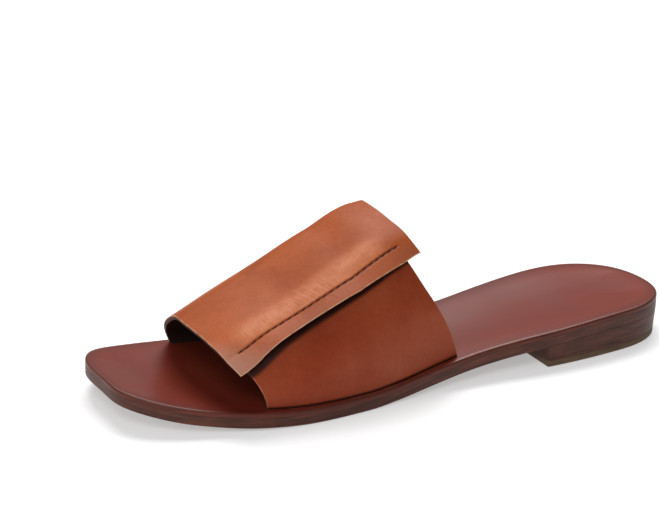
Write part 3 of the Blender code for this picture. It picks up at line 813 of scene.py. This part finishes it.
def new_material(name):
    """Material with a Principled shader, and add() for its own node tree."""
    material = bpy.data.materials.new(name)
    material.use_nodes = True
    return material, partial(add, material.node_tree)


def shaded(material, sockets):
    """The material, with these values and links on its shader's own sockets."""
    feed(material.node_tree, material.node_tree.nodes["Principled BSDF"], sockets)
    return material


# Settings that many nodes share. A soft Map Range takes value, from, to, low and high, and carries
# the value smoothly from low to high; a Mix of colours takes its factor at 0, its colours at 6 and 7
SOFT = {"interpolation_type": "SMOOTHSTEP"}
PRODUCT = {"operation": "MULTIPLY"}
COLOUR = {"data_type": "RGBA", "out": 2}
FACTOR = {"out": "Fac"}

# Real sizes of the patterns
CLOUD = 38 * MM  # soft clouds of dye in the strap leather
MOTTLE = 4.2 * MM  # finer mottling of that dye
SPECK = 1.3 * MM  # darker specks where pores took more dye
GRAIN = 0.55 * MM  # pores of the grain
PEBBLE = 1.155 * MM  # swells between them
PUCKER_MM = (7.5, 0.85)  # fine draw marks at the seam: across it and along it
NAP = 0.9 * MM  # brushed nap, drawn coarser than real so that it shows
FIBRE = 0.7 * MM  # fibres of a cut edge
SHEEN_CLOUD = 50 * MM  # clouds in the insole's polish
INSOLE_GRAIN = 1.1 * MM
STREAK_MM = (22, 0.9)  # wax streaks on the sole's edge: along it and up it
STAIN_MM = (17, 3.4)  # blotches of its stain
SCRATCH_MM = (6, 0.3)  # scratches of the edge iron


def seam_puckers(node):
    """Height of the fine draw marks that the seam pulls in: short, across it, fading 14 mm away."""
    place = node("TexCoord", out="UV")
    drawn = node("Mapping", {"Vector": place, "Scale": (1 / PUCKER_MM[0], 1 / PUCKER_MM[1], 1),
                             "Rotation": (0, 0, 0.12)})
    wrinkles = node("TexNoise", {"Vector": drawn, "Scale": 1.0, "Distortion": 0.35})
    seam = node("Attribute", attribute_name="seam_mm", **FACTOR)
    sewn = node("Attribute", attribute_name="sewn", **FACTOR)
    above = node("Math", [node("MapRange", [seam, 0.4, 1.2, 0, 1], **SOFT),
                          node("MapRange", [seam, 4.0, 14.0, 1, 0], **SOFT)], **PRODUCT)
    below = node("Math", [node("MapRange", [seam, -0.4, -1.2, 0, 0.5], **SOFT),
                          node("MapRange", [seam, -2, -6, 1, 0.3], **SOFT)], **PRODUCT)
    where = node("Math", [node("Math", [above, below], operation="ADD"), sewn], **PRODUCT)
    return node("Math", [wrinkles, where], **PRODUCT)


def grain_leather(name, stops, rubbed, roughness, depth_mm):
    """Aniline calf, polished: dye in soft clouds, darker beside the thread; painted highlights on its
    rubbed edges and above the seam, painted sheen on the flap and its corner, painted shade under the
    flap and at the base.
    """
    material, node = new_material(name)
    place = node("TexCoord", out="Object")
    edge, corner, off_seam, sewn, under_flap, base = [
        node("Attribute", attribute_name=mark, **FACTOR)
        for mark in ("edge_mm", "corner_mm", "seam_mm", "sewn", "under_flap_mm", "base_mm")]
    clouds = node("TexNoise", {"Vector": place, "Scale": 1 / CLOUD, "Detail": 3.0, "Distortion": 0.6})
    fine = node("TexNoise", {"Vector": place, "Scale": 1 / MOTTLE, "Detail": 4.0, "Roughness": 0.6})
    dye = node("Mix", {0: 0.20, 2: clouds, 3: fine})
    speck = node("TexNoise", {"Vector": place, "Scale": 1 / SPECK, "Detail": 3.0})
    shade = node("ValToRGB", [dye], stops=stops)

    # Each layer of colour: how much of it lies where, and its colour
    # Painted highlight along the rubbed rounding of the edges: a thin pale line
    painted_edge_highlight = node("Math", [node("MapRange", [edge, 0.16, 0.5, 1, 0], **SOFT),
                              node("MapRange", [fine, 0.3, 0.62, 0.35, 0.95], **SOFT)], **PRODUCT)
    # Painted highlight in a band above the seam, where its puckers would catch the light
    painted_seam_highlight = node("Math", [node("MapRange", [off_seam, 0.3, 1.6, 0, 1], **SOFT),
                         node("MapRange", [off_seam, 5, 15, 0.85, 0], **SOFT)], **PRODUCT)
    painted_seam_highlight = node("Math", [painted_seam_highlight, node("MapRange", [fine, 0.3, 0.65, 0.6, 1], **SOFT)], **PRODUCT)
    # Darker close beside the thread
    from_thread = node("Math", [off_seam], operation="ABSOLUTE")
    beside_thread = node("Math", [node("MapRange", [from_thread, 0.25, 0.75, 0.8, 0], **SOFT),
                            node("MapRange", [sewn, 0, 0.1, 0, 1], **SOFT)], **PRODUCT)
    for amount, hex_colour in [
        (node("MapRange", [speck, 0.35, 0.7, 0.16, 0], **SOFT), "#6A2A14"),
        # Painted sheen at the flap's front corner: pale grey pink
        (node("MapRange", [corner, 2, 24, 0.6, 0], **SOFT), "#B08C7C"),
        # Painted sheen over the flap, from its edge to the seam: a grey pink tint
        (node("MapRange", [off_seam, -0.6, -2.5, 0, 0.22], **SOFT), "#8E5A4C"),
        # Painted edge highlight, in the rubbed colour
        (painted_edge_highlight, rubbed),
        # Painted highlight above the seam
        (node("Math", [painted_seam_highlight, sewn], **PRODUCT), "#C67A54"),
        # Darker beside the thread
        (beside_thread, "#5A2413"),
        # Painted shadow under the flap's free edge, on the lower panel
        (node("MapRange", [under_flap, -2.3, -0.5, 0, 0.93], **SOFT), "#260E08"),
        # Painted shade along the strap's base, where it stands in the slot
        (node("MapRange", [base, 0.4, 1.3, 0.92, 0], **SOFT), "#2E120A"),
    ]:
        shade = node("Mix", {0: amount, 6: shade, 7: linear(hex_colour)}, **COLOUR)

    pores = node("TexVoronoi", {"Vector": place, "Scale": 1 / GRAIN}, feature="SMOOTH_F1")
    pebble = node("TexNoise", {"Vector": place, "Scale": 1 / PEBBLE, "Detail": 5.0, "Roughness": 0.65})
    relief = node("Math", [pores, pebble], operation="ADD")
    bump = node("Bump", {"Height": relief, "Distance": depth_mm * MM, "Strength": 0.6})
    drawn = node("Bump", {"Height": seam_puckers(node), "Distance": 0.22 * MM, "Normal": bump})
    gloss = node("MapRange", [dye, 0.3, 0.7, roughness + 0.07, roughness - 0.05], **SOFT)
    return shaded(material, {"Base Color": shade, "Normal": drawn, "Roughness": gloss,
                             "Specular IOR Level": 0.13})


def fibrous(name, size, detail, stops, depth_mm, roughness):
    """Leather without its grain: fibres in two browns, as coarse as their size, dull and dry."""
    material, node = new_material(name)
    place = node("TexCoord", out="Object")
    fibre = node("TexNoise", {"Vector": place, "Scale": 1 / size, "Detail": detail})
    colour = node("ValToRGB", [fibre], stops=stops)
    bump = node("Bump", {"Height": fibre, "Distance": depth_mm * MM})
    return shaded(material, {"Base Color": colour, "Normal": bump, "Roughness": roughness})


def waxed_thread():
    """Waxed polyester thread, near black with brown: twisted plies, a dull sheen on each stitch."""
    material, node = new_material("waxed brown black thread")
    place = node("TexCoord", out="UV")
    ply = node("TexWave", {"Vector": place, "Scale": 0.55}, bands_direction="DIAGONAL", **FACTOR)
    colour = node("ValToRGB", [ply], stops=[(0.2, "#2A120C"), (0.9, "#47211A")])
    bump = node("Bump", {"Height": ply, "Distance": 0.05 * MM})
    return shaded(material, {"Base Color": colour, "Normal": bump, "Roughness": 0.8,
                             "Specular IOR Level": 0.05})


def insole_leather():
    """Vegetable tanned insole, glazed and polished: smooth, red brown, darker towards its rim, with a
    painted highlight on the rim's rounding.
    """
    material, node = new_material("glazed insole leather")
    place = node("TexCoord", out="Object")
    rim = node("Attribute", attribute_name="rim_mm", **FACTOR)
    clouds = node("TexNoise", {"Vector": place, "Scale": 1 / SHEEN_CLOUD, "Detail": 4.0,
                               "Roughness": 0.55})
    colour = node("ValToRGB", [clouds], stops=[(0.3, "#6D2417"), (0.5, "#782B1C"), (0.72, "#823424")])
    # Darker towards the rim, over its outer 8 mm
    darker_rim = node("MapRange", [rim, 0.4, 8.0, 0.4, 0], **SOFT)
    colour = node("Mix", {0: darker_rim, 6: colour, 7: linear("#4A1B12")}, **COLOUR)
    # Painted highlight on the rounding of the rim: a thin light line
    painted_rim_highlight = node("Math", [node("MapRange", [rim, 0.05, 0.3, 0, 0.5], **SOFT),
                          node("MapRange", [rim, 0.5, 1.0, 1, 0], **SOFT)], **PRODUCT)
    colour = node("Mix", {0: painted_rim_highlight, 6: colour, 7: linear("#B0705E")}, **COLOUR)
    grain = node("TexNoise", {"Vector": place, "Scale": 1 / INSOLE_GRAIN, "Detail": 4.0})
    bump = node("Bump", {"Height": grain, "Distance": 0.02 * MM, "Strength": 0.5})
    gloss = node("MapRange", [clouds, 0.3, 0.7, 0.35, 0.285], **SOFT)
    return shaded(material, {"Base Color": colour, "Normal": bump, "Roughness": gloss,
                             "Specular IOR Level": 0.42})


def sole_edge(name, stops, roughness, scratch_mm):
    """Edge of the sole, stained and rubbed with wax: streaks run along it where the iron went."""
    material, node = new_material(name)
    place = node("TexCoord", out="UV")
    streaks, blotches, scratches = [
        node("Mapping", {"Vector": place, "Scale": (1 / long, 1 / high, 1), "Rotation": (0, 0, turn)})
        for (long, high), turn in [(STREAK_MM, 0), (STAIN_MM, 0.10), (SCRATCH_MM, 0)]]
    brushed = node("TexNoise", {"Vector": streaks, "Scale": 1.0, "Detail": 5.0, "Roughness": 0.62,
                                "Distortion": 0.4})
    stain = node("TexNoise", {"Vector": blotches, "Scale": 1.0, "Detail": 4.0, "Roughness": 0.6,
                              "Distortion": 0.8})
    colour = node("ValToRGB", [node("Mix", {0: 0.45, 2: brushed, 3: stain})], stops=stops)
    lines = node("TexNoise", {"Vector": scratches, "Scale": 1.0, "Detail": 3.0})
    bump = node("Bump", {"Height": lines, "Distance": scratch_mm * MM})
    gloss = node("MapRange", {"Value": brushed, "To Min": roughness + 0.1, "To Max": roughness - 0.12})
    return shaded(material, {"Base Color": colour, "Normal": bump, "Roughness": gloss,
                             "Specular IOR Level": 0.22})


# The third value of each calf is the colour of its painted edge highlight
CALF = grain_leather("cognac aniline calf",
                     [(0.30, "#94421A"), (0.46, "#A14D1F"), (0.60, "#AB5325"), (0.75, "#B45F31")],
                     "#C89C7C", 0.46, 0.08)
# The same calf, darker and redder, for the lower panel: its darker colour is painted shade of the side
# turned from the lamps
SHADED_CALF = grain_leather("cognac aniline calf, shaded copy",
                          [(0.30, "#833118"), (0.46, "#8D3A1F"), (0.60, "#944226"), (0.75, "#9B4B2E")],
                          "#B07A5E", 0.42, 0.07)
# Back of the strap: a short brushed nap that drinks light
FLESH = fibrous("dark dyed flesh side", NAP, 4.0, [(0.3, "#241310"), (0.7, "#3A211A")], 0.12, 0.92)
# Cut edge, stained and rubbed down: duller than the grain
RAW_EDGE = fibrous("stained cut edge", FIBRE, 3.0, [(0.3, "#3E2118"), (0.7, "#5E382A")], 0.1, 0.7)
THREAD = waxed_thread()
FOOTBED = insole_leather()
INSOLE_EDGE = sole_edge("burnished insole edge",
                        [(0.3, "#421D16"), (0.5, "#57271D"), (0.7, "#6B3527")], 0.42, 0.03)
OUTSOLE_EDGE = sole_edge("burnished sole leather",
                         [(0.28, "#331D17"), (0.46, "#47281F"), (0.6, "#5E3327"), (0.75, "#783E2D")],
                         0.5, 0.05)
# Moulded rubber, sanded with the heel: matt, its streaks are scuffs
TOP_RUBBER = sole_edge("scuffed olive brown heel rubber",
                       [(0.3, "#503D2D"), (0.55, "#644E3B"), (0.8, "#7C664D")], 0.68, 0.04)

# Pieces

UPPER_GRID = upper_panel_grid()
LOWER_GRID = lower_panel_grid()
upper_panel = panel("strap_upper_panel", UPPER_GRID, [CALF, FLESH, RAW_EDGE])
lower_panel = panel("strap_lower_panel", LOWER_GRID, [SHADED_CALF, FLESH, RAW_EDGE])
lockstitch = stitching("flap_lockstitch", UPPER_GRID, THREAD)

SOLE_PLAN = closed_plan(even_points(OUTER_SIDE, SIDE_POINTS), even_points(INNER_SIDE, SIDE_POINTS))
HEEL_PLAN = closed_plan(heel_side(OUTER_SIDE), heel_side(INNER_SIDE))
insole = plate("insole_leather", SOLE_PLAN, INSOLE_RIM, sole_low(OUTSOLE_THICK + LAYER_GAP),
               sole_low(SOLE_THICK), [FOOTBED, INSOLE_EDGE], dish=footbed_dish)
open_slot(insole, LOWER_GRID)
open_slot(insole, UPPER_GRID)
outsole = plate("outsole_leather", SOLE_PLAN, OUTSOLE_RIM, sole_low(0), sole_low(OUTSOLE_THICK),
                [OUTSOLE_EDGE])
heel_lift = plate("heel_lift_leather", HEEL_PLAN, LIFT_RIM, flat_low(TOP_PIECE_THICK + LAYER_GAP),
                  sole_low(-LAYER_GAP), [OUTSOLE_EDGE], heel_draw(lambda share: 1 - share))
heel_cap = plate("heel_top_rubber", HEEL_PLAN, TOP_PIECE_RIM, flat_low(0.0), flat_low(TOP_PIECE_THICK),
                 [TOP_RUBBER], heel_draw(np.ones_like))

PieceRow = namedtuple("PieceRow", "piece node slot")
for row in [
    PieceRow(upper_panel, "upper", "upper_leather"),
    PieceRow(lower_panel, "upper", "upper_leather"),
    PieceRow(lockstitch, "upper", "upper_leather"),
    PieceRow(insole, "insole", "footbed_leather"),
    PieceRow(outsole, "outsole", "sole_leather"),
    PieceRow(heel_lift, "heel_lift", "sole_leather"),
    PieceRow(heel_cap, "heel_top_piece", "heel_rubber"),
]:
    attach(row.piece, "root")
    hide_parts(row.node)

# Stage, light and camera

FLOOR_REACH = 6.0
FLOOR_DROP = 0.2 * MM  # under the sole, so that the two don't share a plane
FLOOR_GLOW = 0.40
SKY_LIGHT = 0.18

# Soft boxes, all turned to AIM: place and size in metres, power in watts
AIM = (0, 0, 0.03)
LAMPS = table("name place width height power", [
    ("overhead", (-0.24, -0.62, 1.20), 0.9, 0.6, 16),
    ("front", (0.55, 0.75, 0.80), 0.5, 0.4, 4),
    ("left", (1.25, 0.35, 0.45), 0.8, 0.6, 4.4),
    ("behind", (-0.75, -1.4, 1.40), 2.2, 0.4, 8.5),
])

# The photograph's view: from the outer side, toe to the left, 20 degrees above the floor
CAMERA_PLACE = (0.46656, 0.819, 0.38784)
CAMERA_RIGHT = (-0.88625, 0.46246, 0.02625)
CAMERA_UP = (-0.13574, -0.31348, 0.93984)
CAMERA_BACK = (0.44287, 0.82938, 0.3406)
LENS = 131.91
SENSOR = 36.0


def make_floor():
    """Large pale floor just under the sole: a matt white table, lit a little from inside."""
    mesh = bpy.data.meshes.new("floor")
    r = FLOOR_REACH
    z = -FLOOR_DROP
    mesh.from_pydata([(-r, -r, z), (r, -r, z), (r, r, z), (-r, r, z)], [], [(0, 1, 2, 3)])
    table_top = new_material("matt white backlit studio table")[0]
    mesh.materials.append(shaded(table_top, {
        "Base Color": linear("#D8D8D8"), "Roughness": 0.9, "Specular IOR Level": 0.1,
        "Emission Color": (1, 1, 1, 1), "Emission Strength": FLOOR_GLOW}))
    floor = bpy.data.objects.new("floor", mesh)
    bpy.context.scene.collection.objects.link(floor)


def stand(name, data, right, up, back, place):
    """Lamp or camera at a place, looking against back."""
    made = bpy.data.objects.new(name, data)
    made.matrix_world = Matrix([[right[k], up[k], back[k], place[k]] for k in range(3)] + [[0, 0, 0, 1]])
    bpy.context.scene.collection.objects.link(made)
    return made


def soft_box(row):
    """Rectangular soft light that faces AIM and isn't seen itself."""
    data = bpy.data.lights.new(row.name, "AREA")
    data.shape = "RECTANGLE"
    data.size = row.width
    data.size_y = row.height
    data.energy = row.power
    back = unit(np.subtract(row.place, AIM))
    right = unit(np.cross([0, 0, 1], back))
    lamp = stand(row.name, data, right, np.cross(back, right), back, row.place)
    lamp.visible_camera = False


def make_camera():
    """Camera of the photograph's view, with a long lens."""
    data = bpy.data.cameras.new("camera")
    data.sensor_width = SENSOR
    data.lens = LENS
    data.clip_start = 0.05
    data.clip_end = 50
    bpy.context.scene.camera = stand("camera", data, CAMERA_RIGHT, CAMERA_UP, CAMERA_BACK, CAMERA_PLACE)


make_floor()
make_camera()
for row in LAMPS:
    soft_box(row)

world = bpy.data.worlds.new("studio")
world.use_nodes = True
sky = world.node_tree.nodes["Background"]
feed(world.node_tree, sky, {"Color": (1, 1, 1, 1), "Strength": SKY_LIGHT})
bpy.context.scene.world = world
bpy.context.scene.view_settings.view_transform = "Standard"
